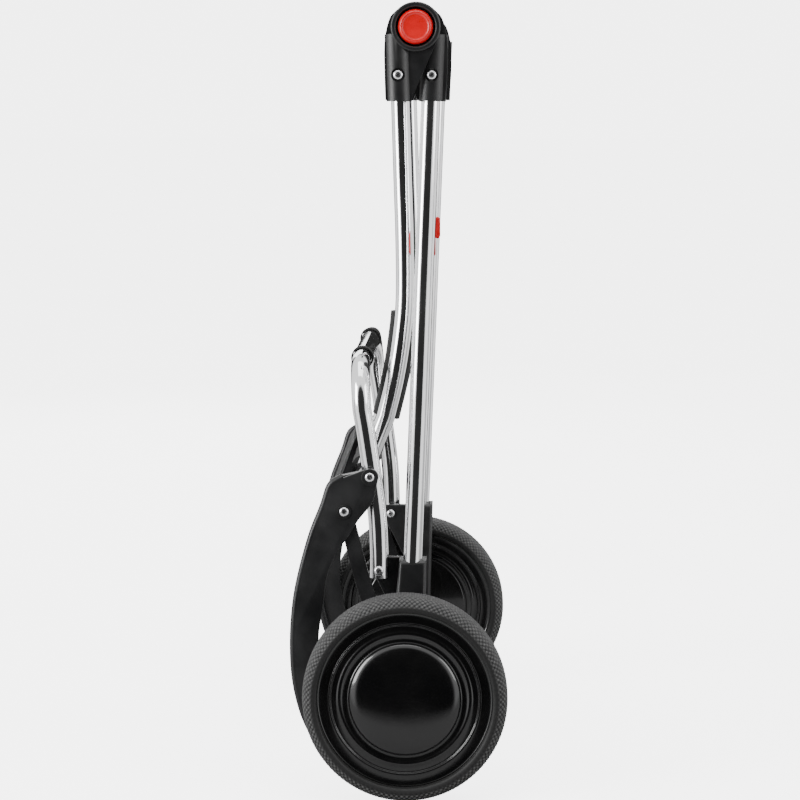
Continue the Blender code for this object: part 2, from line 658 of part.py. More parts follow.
def build_wheel(name, side):
    """Tyre, two rim halves, hub cap and two bearings."""
    centre = place(0.0, WHEEL_RADIUS, side * WHEEL_X)
    half = WHEEL_WIDTH / 2
    seat = RIM_RADIUS + GAP
    crown = [(WHEEL_RADIUS, half * 0.45), (WHEEL_RADIUS, -half * 0.45)]
    upper = [(seat, half - 0.003), (seat + 0.002, half - 0.0005), (WHEEL_RADIUS - 0.0065, half),
             (WHEEL_RADIUS - 0.0025, half - 0.003), (WHEEL_RADIUS - 0.0006, half - 0.0075)]
    lower = [(radius, -height) for radius, height in reversed(upper)]
    turned(name + "_tyre", upper + crown + lower, centre, side, RUBBER, True)
    for label, way, rise in (("outer", side, 0.0), ("inner", -side, 0.004)):
        face = rim_face(rise)
        under = [(radius, height - RIM_WALL) for radius, height in reversed(face[1:-2:2])]
        hub = [(BEARING_RADIUS + 0.003, face[1][1] - RIM_WALL), (BEARING_RADIUS + 0.003, GAP / 2),
               (BEARING_RADIUS + GAP, GAP / 2), (BEARING_RADIUS + GAP, face[0][1])]
        band = [(RIM_RADIUS, GAP / 2), (RIM_RADIUS - RIM_WALL, GAP / 2), (RIM_RADIUS - RIM_WALL, half - 0.0085)]
        turned(name + "_" + label + "_rim", face + band + under + hub, centre, way, GLOSS, True)
        top = half - FACE_RECESS - 0.001
        bearing = ring(BEARING_RADIUS, AXLE_RADIUS + 0.0004, top - BEARING_WIDTH, top)
        turned(name + "_" + label + "_bearing", bearing, centre, way, STEEL, True, 24)
    base = half - FACE_RECESS + GAP
    wall = 0.002
    dome = [(CAP_RADIUS * math.sin(math.radians(step * 15)),
             base + 0.002 + CAP_RISE * math.cos(math.radians(step * 15))) for step in range(7)]
    inside = [((CAP_RADIUS - wall) * math.sin(math.radians(90 - step * 18)),
               base + 0.0005 + (CAP_RISE - 0.0005) * math.cos(math.radians(90 - step * 18))) for step in range(6)]
    turned(name + "_hub_cap", dome + [(CAP_RADIUS, base), (CAP_RADIUS - wall, base)] + inside[1:], centre, side,
           GLOSS, False)


build_uprights()
build_sockets()
build_buttons()
build_handle()
build_platform()
build_panel()
build_arms()
build_links()
build_brackets()
build_strap_clips()
build_axle()
build_wheel("left_wheel", 1)
build_wheel("right_wheel", -1)
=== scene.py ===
import json
import math

import bmesh
import bpy
from mathutils import Matrix, Vector


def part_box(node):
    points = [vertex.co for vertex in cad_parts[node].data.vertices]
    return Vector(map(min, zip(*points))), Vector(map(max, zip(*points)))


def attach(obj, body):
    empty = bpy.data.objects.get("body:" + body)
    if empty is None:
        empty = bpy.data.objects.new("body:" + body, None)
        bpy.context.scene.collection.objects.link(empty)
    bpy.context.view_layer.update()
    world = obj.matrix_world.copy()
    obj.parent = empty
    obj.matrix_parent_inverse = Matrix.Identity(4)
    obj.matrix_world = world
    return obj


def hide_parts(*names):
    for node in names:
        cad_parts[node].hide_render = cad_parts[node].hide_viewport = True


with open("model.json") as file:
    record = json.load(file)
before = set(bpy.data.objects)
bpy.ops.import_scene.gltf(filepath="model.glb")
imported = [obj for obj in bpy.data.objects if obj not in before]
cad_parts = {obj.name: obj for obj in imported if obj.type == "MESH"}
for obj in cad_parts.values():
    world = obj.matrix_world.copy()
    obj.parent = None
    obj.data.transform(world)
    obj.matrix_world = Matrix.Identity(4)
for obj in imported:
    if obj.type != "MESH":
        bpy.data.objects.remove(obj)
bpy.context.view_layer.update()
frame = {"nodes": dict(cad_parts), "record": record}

# ---------------------------------------------------------------- places read from the frame
JOINTS = {joint["name"]: joint for joint in frame["record"]["behaviour"]["joints"]}
HUB = Vector(JOINTS["handle_fold"]["pos_m"])
AXLE = Vector(JOINTS["left_wheel_spin"]["pos_m"])
PLATFORM_PIVOT = Vector(JOINTS["platform_fold"]["pos_m"])
ARM_PIVOT = Vector(JOINTS["arm_fold"]["pos_m"])
SIDES = (("left", 1), ("right", -1))


def span_x(node):
    """Inboard and outboard distance of a left-hand node from the middle."""
    low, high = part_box("left_" + node)
    return low[0], high[0]


def middle_of(node):
    low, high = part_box(node)
    return (Vector(low) + Vector(high)) / 2


TYRE_IN, TYRE_OUT = span_x("wheel_tyre")
WHEEL_X = (TYRE_IN + TYRE_OUT) / 2
WHEEL_HALF = (TYRE_OUT - TYRE_IN) / 2
WHEEL_RADIUS = AXLE.z
RIM_RADIUS = (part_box("left_wheel_outer_rim")[1][2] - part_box("left_wheel_outer_rim")[0][2]) / 2
CAP_RADIUS = (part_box("left_wheel_hub_cap")[1][2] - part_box("left_wheel_hub_cap")[0][2]) / 2
CAP_TOP = span_x("wheel_hub_cap")[1] - WHEEL_X
FRAME_X = sum(span_x("upright")) / 2
TUBE_RADIUS = (span_x("upright")[1] - span_x("upright")[0]) / 2
SOCKET_IN, SOCKET_OUT = span_x("upright_socket")
HANDLE_IN, HANDLE_OUT = span_x("handle_socket")
HANDLE_X = (HANDLE_IN + HANDLE_OUT) / 2
COVER_IN, COVER_OUT = span_x("hinge_cover")
ARM_OUT = span_x("arm")[1]
FLANGE_IN = span_x("arm")[0]
SOCKET_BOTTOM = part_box("left_upright_socket")[0][2]
HUB_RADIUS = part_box("left_upright_socket")[1][2] - HUB.z
HEAD_RADIUS = 0.00475     # screw heads
HEAD_HEIGHT = 0.0026
SHANK_RADIUS = 0.0025
SHOULDER_SHANK = 0.0035   # the arm turns on this thicker shank
NUT_LENGTH = 0.0028
NUT_RADIUS = 0.0044
GAP = 0.0003              # between pieces that touch
MERGE = 0.000005          # points closer than this are one point

# ---------------------------------------------------------------- materials


def node(tree, kind, place=(0, 0), **values):
    """Add a shader node and set its plain values."""
    made = tree.nodes.new(kind)
    made.location = place
    for name, value in values.items():
        setattr(made, name, value)
    return made


def link(tree, source, target):
    tree.links.new(source, target)


def base_material(name, colour, roughness, metallic=0.0):
    made = bpy.data.materials.new(name)
    made.use_nodes = True
    shader = made.node_tree.nodes["Principled BSDF"]
    shader.inputs["Base Color"].default_value = (*colour, 1)
    shader.inputs["Roughness"].default_value = roughness
    shader.inputs["Metallic"].default_value = metallic
    return made, made.node_tree, shader


def grain(tree, scale, detail=4.0, stretch=(1, 1, 1), roughness=0.55):
    """Noise on object coordinates, stretched along the axes."""
    place = node(tree, "ShaderNodeTexCoord", (-1100, 0))
    mapping = node(tree, "ShaderNodeMapping", (-920, 0))
    mapping.inputs["Scale"].default_value = stretch
    pattern = node(tree, "ShaderNodeTexNoise", (-740, 0))
    pattern.inputs["Scale"].default_value = scale
    pattern.inputs["Detail"].default_value = detail
    pattern.inputs["Roughness"].default_value = roughness
    link(tree, place.outputs["Object"], mapping.inputs["Vector"])
    link(tree, mapping.outputs["Vector"], pattern.inputs["Vector"])
    return pattern.outputs["Fac"]


def spread(tree, source, low, high, start=0.3, end=0.7):
    """Map a pattern to a range of values."""
    change = node(tree, "ShaderNodeMapRange", (-520, -150))
    change.inputs["From Min"].default_value = start
    change.inputs["From Max"].default_value = end
    change.inputs["To Min"].default_value = low
    change.inputs["To Max"].default_value = high
    link(tree, source, change.inputs["Value"])
    return change.outputs["Result"]


def tint(tree, source, dark, light, start=0.35, end=0.65):
    """Two colours mixed by a pattern."""
    ramp = node(tree, "ShaderNodeValToRGB", (-520, 150))
    ramp.color_ramp.elements[0].position = start
    ramp.color_ramp.elements[0].color = (*dark, 1)
    ramp.color_ramp.elements[1].position = end
    ramp.color_ramp.elements[1].color = (*light, 1)
    link(tree, source, ramp.inputs["Fac"])
    return ramp.outputs["Color"]


def relief(tree, shader, source, strength, distance):
    bump = node(tree, "ShaderNodeBump", (-260, -320))
    bump.inputs["Strength"].default_value = strength
    bump.inputs["Distance"].default_value = distance
    link(tree, source, bump.inputs["Height"])
    link(tree, bump.outputs["Normal"], shader.inputs["Normal"])


def polished_tube():
    """Bright drawn aluminium with fine lengthwise lines and faint handling smears."""
    made, tree, shader = base_material("polished_aluminium_tube", (0.86, 0.86, 0.87), 0.1, 1)
    lines = grain(tree, 60, 3, (14, 14, 0.5))
    smears = grain(tree, 18, 5)
    link(tree, spread(tree, smears, 0.05, 0.16), shader.inputs["Roughness"])
    link(tree, tint(tree, smears, (0.80, 0.80, 0.81), (0.90, 0.90, 0.91)), shader.inputs["Base Color"])
    relief(tree, shader, lines, 0.05, 0.0002)
    return made


def zinc_steel():
    """Bright zinc plated steel for screws, axle and bearings."""
    made, tree, shader = base_material("zinc_plated_steel", (0.74, 0.74, 0.76), 0.2, 1)
    spots = grain(tree, 420, 4)
    link(tree, spread(tree, spots, 0.14, 0.30), shader.inputs["Roughness"])
    link(tree, tint(tree, spots, (0.62, 0.62, 0.64), (0.82, 0.82, 0.83)), shader.inputs["Base Color"])
    relief(tree, shader, spots, 0.08, 0.0001)
    return made


def moulded_black():
    """Black glass-filled nylon with a fine spark-eroded grain and slightly dusty patches."""
    made, tree, shader = base_material("moulded_black_nylon", (0.012, 0.012, 0.013), 0.4)
    fine = grain(tree, 1400, 3)
    broad = grain(tree, 30, 5)
    link(tree, spread(tree, broad, 0.34, 0.48), shader.inputs["Roughness"])
    link(tree, tint(tree, broad, (0.0055, 0.0055, 0.006), (0.010, 0.010, 0.0105)), shader.inputs["Base Color"])
    relief(tree, shader, fine, 0.25, 0.0002)
    return made


def gloss_black():
    """High gloss moulded wheel shells with faint orange peel."""
    made, tree, shader = base_material("gloss_black_shell", (0.005, 0.005, 0.005), 0.12)
    shader.inputs["Coat Weight"].default_value = 0.6
    shader.inputs["Coat Roughness"].default_value = 0.04
    peel = grain(tree, 160, 2)
    broad = grain(tree, 24, 4)
    link(tree, spread(tree, broad, 0.14, 0.24), shader.inputs["Roughness"])
    link(tree, tint(tree, broad, (0.0020, 0.0020, 0.0022), (0.0035, 0.0035, 0.0035)), shader.inputs["Base Color"])
    relief(tree, shader, peel, 0.02, 0.0003)
    return made


def tyre_rubber():
    """Dark rubber mottled by dust; its raised tread blocks are painted light grey as a painted highlight, so the
    grooves and side walls stay dark.
    """
    made, tree, shader = base_material("tread_rubber", (0.03, 0.03, 0.03), 0.75)
    block = node(tree, "ShaderNodeAttribute", (-960, 300))
    block.attribute_name = "tread"
    dust = grain(tree, 220, 5)
    # painted highlight: the raised share of each tread block, mottled by dust, lifts it from near black to grey
    dust_and_painted_highlight = node(tree, "ShaderNodeMath", (-560, 300), operation="MULTIPLY")
    link(tree, block.outputs["Fac"], dust_and_painted_highlight.inputs[0])
    link(tree, spread(tree, dust, 0.55, 1.0), dust_and_painted_highlight.inputs[1])
    link(tree, tint(tree, dust_and_painted_highlight.outputs[0], (0.004, 0.004, 0.004), (0.085, 0.085, 0.085), 0.10, 0.95),
         shader.inputs["Base Color"])
    shader.inputs["Roughness"].default_value = 0.62
    relief(tree, shader, dust, 0.3, 0.0003)
    return made


def grip_foam():
    """Closed-cell black foam with small pores."""
    made, tree, shader = base_material("black_grip_foam", (0.015, 0.015, 0.015), 0.85)
    pores = grain(tree, 900, 6, roughness=0.7)
    link(tree, tint(tree, pores, (0.005, 0.005, 0.005), (0.016, 0.016, 0.016)), shader.inputs["Base Color"])
    link(tree, spread(tree, pores, 0.75, 0.95), shader.inputs["Roughness"])
    relief(tree, shader, pores, 0.5, 0.0004)
    return made


def red_button():
    """Moulded red plastic, satin, with a little wear in its gloss."""
    made, tree, shader = base_material("red_moulded_plastic", (0.60, 0.004, 0.005), 0.3)
    broad = grain(tree, 90, 5)
    link(tree, spread(tree, broad, 0.24, 0.38), shader.inputs["Roughness"])
    link(tree, tint(tree, broad, (0.55, 0.003, 0.004), (0.66, 0.005, 0.007)), shader.inputs["Base Color"])
    relief(tree, shader, grain(tree, 1500, 2), 0.12, 0.0001)
    return made


ALUMINIUM = polished_tube()
STEEL = zinc_steel()
NYLON = moulded_black()
GLOSS = gloss_black()
RUBBER = tyre_rubber()
FOAM = grip_foam()
RED = red_button()
SLOTS = {ALUMINIUM: "polished_aluminium", STEEL: "bright_steel", NYLON: "black_plastic", GLOSS: "gloss_black",
         RUBBER: "rubber", FOAM: "grip_foam", RED: "red_plastic"}
CAD_FINISHES = {slot: finish for finish, slot in SLOTS.items()}

# ---------------------------------------------------------------- modelling helpers


def publish(name, shape, finish, body, replaced=(), sharp=35):
    """Turn a bmesh into a finished piece that rides on a body."""
    mesh = bpy.data.meshes.new(name)
    bmesh.ops.recalc_face_normals(shape, faces=shape.faces)
    shape.to_mesh(mesh)
    shape.free()
    mesh.materials.append(finish)
    mesh.shade_smooth()
    mesh.set_sharp_from_angle(angle=math.radians(sharp))
    piece = bpy.data.objects.new(name, mesh)
    bpy.context.scene.collection.objects.link(piece)
    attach(piece, body)
    if replaced:
        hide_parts(*replaced)
    return piece


def spun(profile, centre, side, steps=128):
    """Turned shape on an X axis through centre.

    The profile is (radius, height outboard) pairs: a closed ring, or open to the axis.
    """
    shape = bmesh.new()
    dots = [shape.verts.new(centre + Vector((side * height, 0, radius))) for radius, height in profile]
    edges = [shape.edges.new(pair) for pair in zip(dots, dots[1:])]
    if profile[0][0] > 0:
        edges.append(shape.edges.new((dots[-1], dots[0])))
    bmesh.ops.spin(shape, geom=dots + edges, cent=centre, axis=(1, 0, 0), angle=2 * math.pi, steps=steps,
                   use_merge=True)
    bmesh.ops.remove_doubles(shape, verts=shape.verts, dist=MERGE)
    return shape


def soften(profile, width, steps=3):
    """Round the corners of a closed profile of (radius, height) pairs."""
    count = len(profile)
    softened = []
    for index, (radius, height) in enumerate(profile):
        corner = Vector((radius, height))
        before = Vector(profile[index - 1]) - corner
        after = Vector(profile[(index + 1) % count]) - corner
        cut = min(width, before.length * 0.45, after.length * 0.45)
        start = corner + before.normalized() * cut
        end = corner + after.normalized() * cut
        for step in range(steps + 1):
            share = step / steps
            softened.append(tuple((1 - share) ** 2 * start + 2 * share * (1 - share) * corner + share ** 2 * end))
    return softened


def slab(outline, inner, outer, side, rounding=0.0008, segments=3):
    """Flat piece in the side plane with rounded rims; the outline is (y, z) pairs."""
    shape = bmesh.new()
    dots = [shape.verts.new((side * inner, y, z)) for y, z in outline]
    base = shape.faces.new(dots)
    grown = bmesh.ops.extrude_face_region(shape, geom=[base])
    raised = [part for part in grown["geom"] if isinstance(part, bmesh.types.BMVert)]
    bmesh.ops.translate(shape, verts=raised, vec=(side * (outer - inner), 0, 0))
    rims = [edge for edge in shape.edges if abs(edge.verts[0].co.x - edge.verts[1].co.x) < 1e-6]
    if rounding:
        bmesh.ops.bevel(shape, geom=rims, offset=rounding, offset_type="OFFSET", segments=segments, profile=0.5,
                        affect="EDGES", clamp_overlap=True, material=-1)
    return shape


def swept(route, radius, sides=40):
    """Round bar along a route, closed at both ends."""
    shape = bmesh.new()
    heading = (route[1] - route[0]).normalized()
    across = heading.orthogonal().normalized()
    rings = []
    for index, spot in enumerate(route):
        ahead = (route[min(index + 1, len(route) - 1)] - route[max(index - 1, 0)]).normalized()
        across = (across - across.project(ahead)).normalized()
        other = ahead.cross(across)
        rings.append([shape.verts.new(spot + radius * (across * math.cos(turn) + other * math.sin(turn)))
                      for turn in (2 * math.pi * step / sides for step in range(sides))])
    for low, high in zip(rings, rings[1:]):
        for step in range(sides):
            after = (step + 1) % sides
            shape.faces.new((low[step], low[after], high[after], high[step]))
    for end in (rings[0], rings[-1]):
        cap = shape.faces.new(end)
        bmesh.ops.inset_region(shape, faces=[cap], thickness=radius * 0.12)
    return shape


def welded_copy(node_name):
    """A merged copy of a CAD node's solid."""
    shape = bmesh.new()
    shape.from_mesh(frame["nodes"][node_name].data)
    bmesh.ops.remove_doubles(shape, verts=shape.verts, dist=MERGE)
    bmesh.ops.dissolve_limit(shape, angle_limit=math.radians(1), verts=shape.verts, edges=shape.edges)
    return shape


def refined(node_name, finish, body, rounding=0.0006, segments=3, angle=40):
    """A CAD piece with moulded, rounded edges."""
    piece = publish(node_name + "_finished", welded_copy(node_name), finish, body, (node_name,))
    bevel = piece.modifiers.new("rounded edges", "BEVEL")
    bevel.width = rounding
    bevel.segments = segments
    bevel.limit_method = "ANGLE"
    bevel.angle_limit = math.radians(angle)
    bevel.use_clamp_overlap = True
    bevel.harden_normals = True
    return piece


def apply_boolean(piece, tools, operation="DIFFERENCE"):
    """Cut or join a piece with other shapes and keep only the result."""
    helpers = []
    for tool in tools:
        mesh = bpy.data.meshes.new("tool")
        bmesh.ops.recalc_face_normals(tool, faces=tool.faces)
        tool.to_mesh(mesh)
        tool.free()
        helper = bpy.data.objects.new("tool", mesh)
        bpy.context.scene.collection.objects.link(helper)
        change = piece.modifiers.new("shape", "BOOLEAN")
        change.operation = operation
        change.object = helper
        change.solver = "EXACT"
        helpers.append(helper)
    bpy.context.view_layer.update()
    graph = bpy.context.evaluated_depsgraph_get()
    result = bpy.data.meshes.new_from_object(piece.evaluated_get(graph))
    piece.modifiers.clear()
    piece.data = result
    for helper in helpers:
        bpy.data.objects.remove(helper, do_unlink=True)
    result.shade_smooth()
    result.set_sharp_from_angle(angle=math.radians(35))
    return piece


def curve_through(points, steps):
    """Smooth curve through points (Catmull-Rom)."""
    spots = [Vector(point) for point in points]
    ends = [2 * spots[0] - spots[1]] + spots + [2 * spots[-1] - spots[-2]]
    route = []
    for index in range(1, len(ends) - 2):
        before, start, end, after = ends[index - 1:index + 3]
        for step in range(steps):
            t = step / steps
            route.append(0.5 * (2 * start + (end - before) * t
                                + (2 * before - 5 * start + 4 * end - after) * t * t
                                + (3 * start - before - 3 * end + after) * t ** 3))
    route.append(spots[-1])
    return route


def bend(before, corner, after, radius, steps):
    """Round bend in place of a corner."""
    back = (before - corner).normalized()
    ahead = (after - corner).normalized()
    half = back.angle(ahead) / 2
    middle = corner + (back + ahead).normalized() * radius / math.sin(half)
    start = corner + back * radius / math.tan(half) - middle
    end = corner + ahead * radius / math.tan(half) - middle
    turn = math.pi - 2 * half
    aside = (end - end.project(start)).normalized() * radius
    return [middle + start * math.cos(turn * step / steps) + aside * math.sin(turn * step / steps)
            for step in range(steps + 1)]


def mirrored(half):
    """A loop made of a left half and its right-hand copy."""
    return half + [Vector((-spot.x, spot.y, spot.z)) for spot in reversed(half)]


def side_point(y, z, x=0.0):
    """World point from a depth measured from the axle and a height above the floor."""
    return Vector((x, AXLE.y + y, z))


def arc(centre, radius, start, end, steps):
    """(y, z) points of an arc, angles in degrees."""
    return [(centre[0] + radius * math.cos(math.radians(start + (end - start) * step / steps)),
             centre[1] + radius * math.sin(math.radians(start + (end - start) * step / steps)))
            for step in range(steps + 1)]


# ---------------------------------------------------------------- tubes
UPRIGHT_LEAN = 0.0388     # run in Y for each unit of height
HANDLE_LEAN = -0.0313
UPRIGHT_SETBACK = 0.0015  # the uprights' axis passes this far behind the axle
HANDLE_SETBACK = 0.0186   # the handle legs' axis passes this far in front of the hinge
HANDLE_BEND = 0.034
LOOP_BEND = 0.040
END_PLAY = 0.001          # a tube's end stays this far inside its solid
HANDLE_LEG = ((-0.0023, 0.482), (-0.0057, 0.443), (-0.0121, 0.403), (-0.0217, 0.363))
PLATFORM_LEG = ((-0.0294, 0.275), (-0.0389, 0.343))


def upright_y(z):
    """Depth of an upright's axis at a height."""
    return AXLE.y + UPRIGHT_SETBACK + UPRIGHT_LEAN * (z - AXLE.z)


def handle_y(z):
    """Depth of a handle leg's axis at a height, down to where the leg starts to bend."""
    return HUB.y - HANDLE_SETBACK + HANDLE_LEAN * (z - HUB.z)


def make_uprights():
    """The two straight tubes."""
    for name, side in SIDES:
        low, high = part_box(name + "_upright")
        ends = [Vector((side * FRAME_X, upright_y(z), z)) for z in (low[2] + END_PLAY, high[2] - END_PLAY)]
        publish(name + "_upright_tube", swept(ends, TUBE_RADIUS, 64), ALUMINIUM, "frame", (name + "_upright",))


def make_handle():
    """Handle loop, its foam grip and the two foam sleeves on its legs."""
    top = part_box("handle_loop")[1][2] - END_PLAY
    leg = [Vector((HANDLE_X, handle_y(z), z)) for z in (top, 0.60, 0.54)]
    leg += [side_point(y, z, HANDLE_X) for y, z in HANDLE_LEG]
    leg = curve_through(leg, 6)
    bar = middle_of("handle_grip")
    corner = Vector((HANDLE_X, bar.y, bar.z))
    half = leg + bend(leg[-1], corner, bar, HANDLE_BEND, 16)
    publish("handle_tube", swept(mirrored(half), TUBE_RADIUS), ALUMINIUM, "handle", ("handle_loop",))
    low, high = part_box("handle_grip")
    reach = high[0]
    radius = (high[2] - low[2]) / 2
    inner = TUBE_RADIUS + GAP
    swell = 0.0004
    slices = 28
    outer = []
    for count in range(slices + 1):
        x = reach - 2 * reach * count / slices
        outer.append((radius - 0.0005 + swell * math.cos(3 * math.pi * x / reach), x))
    ends = radius - 0.003
    profile = [(inner, reach), (ends, reach)] + outer + [(ends, -reach), (inner, -reach)]
    publish("handle_grip_foam", spun(profile, bar, 1, 64), FOAM, "handle", ("handle_grip",))
    for name, _ in SIDES:
        refined(name + "_leg_cradle", FOAM, "handle", 0.0008)


def make_platform():
    """Platform loop with its rubber rings and the cross panel."""
    pivot = PLATFORM_PIVOT
    top = middle_of("left_platform_stop")
    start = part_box("platform_loop")[0][2]
    leg = [Vector((FRAME_X, pivot.y, start + 0.0002)), Vector((FRAME_X, pivot.y, pivot.z + 0.02))]
    leg += [side_point(y, z, FRAME_X) for y, z in PLATFORM_LEG + ((-0.0440, top.z - 0.044),)]
    leg = curve_through(leg, 6)
    corner = Vector((FRAME_X, top.y, top.z))
    half = leg + bend(leg[-1], corner, Vector((0, top.y, top.z)), LOOP_BEND, 18)
    publish("platform_tube", swept(mirrored(half), TUBE_RADIUS), ALUMINIUM, "platform", ("platform_loop",))
    for name, side in SIDES:
        low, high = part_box(name + "_platform_stop")
        centre = (Vector(low) + Vector(high)) / 2
        half_width = (high[0] - low[0]) / 2
        radius = (high[2] - low[2]) / 2
        profile = soften([(TUBE_RADIUS + GAP, -half_width), (TUBE_RADIUS + GAP, half_width), (radius, half_width),
                          (radius, -half_width)], 0.0018)
        publish(name + "_platform_bumper", spun(profile, centre, side, 64), FOAM, "platform",
                (name + "_platform_stop",))
    refined("platform_panel", NYLON, "platform", 0.0007)


# ---------------------------------------------------------------- hinge hubs
KNUCKLE_HALF = 0.0135     # half the depth of a straight socket
COLUMN_TOP = 0.745        # the columns end inside the hub
BORE_TOP = 0.721          # how far a tube reaches up into its socket
EYE_RADIUS = 0.011        # the hinge barrel passes through this
WELL_RADIUS = 0.0192      # the button moves in this
RING_RADIUS = 0.0244
POCKET_DEPTH = 0.0024     # sunk seats of the hub screws
POCKET_RADIUS = HEAD_RADIUS + 0.0020
CLEAR = 0.01              # cutting shapes reach this far past what they cut


def tangent(centre, radius, point, way):
    """Angle in degrees of the tangent point on a circle, seen from a point outside it."""
    dy = point[0] - centre[0]
    dz = point[1] - centre[1]
    return math.degrees(math.atan2(dz, dy) + way * math.acos(radius / math.hypot(dy, dz)))


def knuckle_outline(column, way, half=KNUCKLE_HALF, inset=0.0):
    """Side view of a knuckle: a straight socket that swells into the hub.

    It swells on the side that way points to (-1 or 1); column gives the socket's axis.
    """
    radius = HUB_RADIUS - inset
    bottom = SOCKET_BOTTOM + inset
    outer = column(bottom) + way * (half + 0.0008 - inset) - HUB.y
    inner = column(bottom) - way * (half - inset) - HUB.y
    swell = [(outer - way * 0.0030, bottom - HUB.z), (outer - way * 0.0009, bottom - HUB.z + 0.0009),
             (outer, bottom - HUB.z + 0.0040), (way * (0.0308 - inset), -0.046), (way * (0.0312 - inset), -0.024),
             (way * (0.0300 - inset), -0.0075), (way * (0.0258 - inset), 0.0085),
             (way * (0.0192 - inset), 0.0163)]
    side_curve = [tuple(spot) for spot in curve_through(swell, 5)]
    low = (inner, bottom - HUB.z)
    start = 40 if way > 0 else 140
    end = tangent((0, 0), radius, low, -way)
    end += 360 if way > 0 and end < 0 else 0
    hub = arc((0, 0), radius, start, end, 48)
    foot = [(inner, bottom - HUB.z + 0.003), (inner + way * 0.0009, bottom - HUB.z + 0.0009),
            (inner + way * 0.003, bottom - HUB.z)]
    return [(HUB.y + y, HUB.z + z) for y, z in side_curve + hub[1:] + foot]


def cylinder(centre, radius, low, high, side, steps=64):
    """Solid round bar on an X axis through centre."""
    return spun([(0, high), (radius, high), (radius, low), (0, low)], centre, side, steps)


def tube_bore(tube_x, axis_y, low, high, side):
    """Cutting shape for the hole that a tube sits in."""
    ends = [Vector((side * tube_x, axis_y(z), z)) for z in (low, high)]
    return swept(ends, TUBE_RADIUS + GAP, 64)


def screw_pocket(seat, face, side):
    """Cutting shape for a screw head's sunk seat."""
    return cylinder(seat, POCKET_RADIUS, face - POCKET_DEPTH, face + CLEAR, side)


def make_hubs():
    """Both hinge hubs: the upright's knuckle, the handle's knuckle, the cover and the button."""
    hub = Vector((0, HUB.y, HUB.z))
    bore_bottom = SOCKET_BOTTOM - CLEAR
    for name, side in SIDES:
        screw_z = middle_of(name + "_socket_screw").z
        upright_seat = Vector((0, upright_y(screw_z), screw_z))
        cover_seat = Vector((0, handle_y(screw_z), screw_z))
        fixed = publish(name + "_upright_knuckle",
                        slab(knuckle_outline(upright_y, 1), SOCKET_IN, SOCKET_OUT - 0.0055, side, 0.0035, 5),
                        NYLON, "frame", (name + "_upright_socket",))
        apply_boolean(fixed, [half_column(upright_y, SOCKET_IN, SOCKET_OUT, 0.0150, side),
                              cylinder(hub, HUB_RADIUS - 0.0006, SOCKET_IN, SOCKET_OUT, side, 96)], "UNION")
        apply_boolean(fixed, [tube_bore(FRAME_X, upright_y, bore_bottom, BORE_TOP, side),
                              screw_pocket(upright_seat, SOCKET_OUT, side),
                              cylinder(hub, EYE_RADIUS, SOCKET_IN - CLEAR, SOCKET_OUT + CLEAR, side)])
        moving = publish(name + "_handle_knuckle",
                         slab(knuckle_outline(handle_y, -1), HANDLE_IN, HANDLE_OUT, side, 0.0045, 6),
                         NYLON, "handle", (name + "_handle_socket",))
        apply_boolean(moving, [tube_bore(HANDLE_X, handle_y, bore_bottom, BORE_TOP, side)])
        make_cover(name, side, hub, cover_seat)
        make_button(name, side, hub)


def half_column(axis_y, inner, outer, radius, side):
    """Round column along a tube's axis, cut flat on its inner side."""
    centre = outer - radius
    ends = [Vector((side * centre, axis_y(z), z)) for z in (SOCKET_BOTTOM + 0.0004, COLUMN_TOP)]
    column = swept(ends, radius, 96)
    rims = [edge for edge in column.edges
            if any(len(face.verts) > 4 for face in edge.link_faces) and len(edge.link_faces) == 2
            and max(vert.co.z for vert in edge.verts) < SOCKET_BOTTOM + 0.004]
    bmesh.ops.bevel(column, geom=rims, offset=0.0022, offset_type="OFFSET", segments=4, profile=0.5,
                    affect="EDGES", clamp_overlap=True, material=-1)
    cut = bmesh.ops.bisect_plane(column, geom=column.verts[:] + column.edges[:] + column.faces[:],
                                 plane_co=(side * (inner + 0.0001), 0, 0), plane_no=(-side, 0, 0),
                                 clear_outer=True)
    rim = [part for part in cut["geom_cut"] if isinstance(part, bmesh.types.BMEdge)]
    bmesh.ops.holes_fill(column, edges=rim)
    return column


def make_cover(name, side, hub, seat):
    """Hinge cover: a shallow plate, a half-round column and a raised ring round the button."""
    plate = slab(knuckle_outline(handle_y, -1, 0.0130, 0.0004), COVER_IN, COVER_IN + 0.0022, side, 0.0009, 4)
    cover = publish(name + "_hinge_cover_shell", plate, NYLON, "handle", (name + "_hinge_cover",))
    foot = COVER_IN + 0.0001
    ring = soften([(WELL_RADIUS, COVER_OUT), (RING_RADIUS, COVER_OUT), (RING_RADIUS, foot), (WELL_RADIUS, foot)],
                  0.0022, 6)
    apply_boolean(cover, [half_column(handle_y, COVER_IN, COVER_OUT - 0.0004, KNUCKLE_HALF, side),
                          spun(ring, hub, side, 96)], "UNION")
    apply_boolean(cover, [cylinder(hub, WELL_RADIUS, COVER_IN - CLEAR, COVER_OUT + CLEAR, side, 96),
                          screw_pocket(seat, COVER_OUT, side)])


def make_button(name, side, hub):
    """Release button with a dished face inside a raised, bevelled rim."""
    stem_end, face = span_x("button")
    stem = 0.0045
    back = face - 0.006
    radius = 0.0172
    dish = [(0, face - 0.0012), (0.006, face - 0.00118), (0.0112, face - 0.0011), (0.0124, face - 0.0008)]
    rim = [(0.0130, face - 0.0003), (0.0136, face - 0.00005), (0.0142, face), (0.0148, face - 0.0003),
           (0.0156, face - 0.0011), (0.0165, face - 0.0024), (0.0170, face - 0.0034), (radius, face - 0.0042)]
    profile = dish + rim + [(radius, back), (stem, back), (stem, stem_end), (0, stem_end)]
    publish(name + "_release_button", spun(profile, hub, side, 96), RED, name + "_release", (name + "_button",))


# ---------------------------------------------------------------- screws


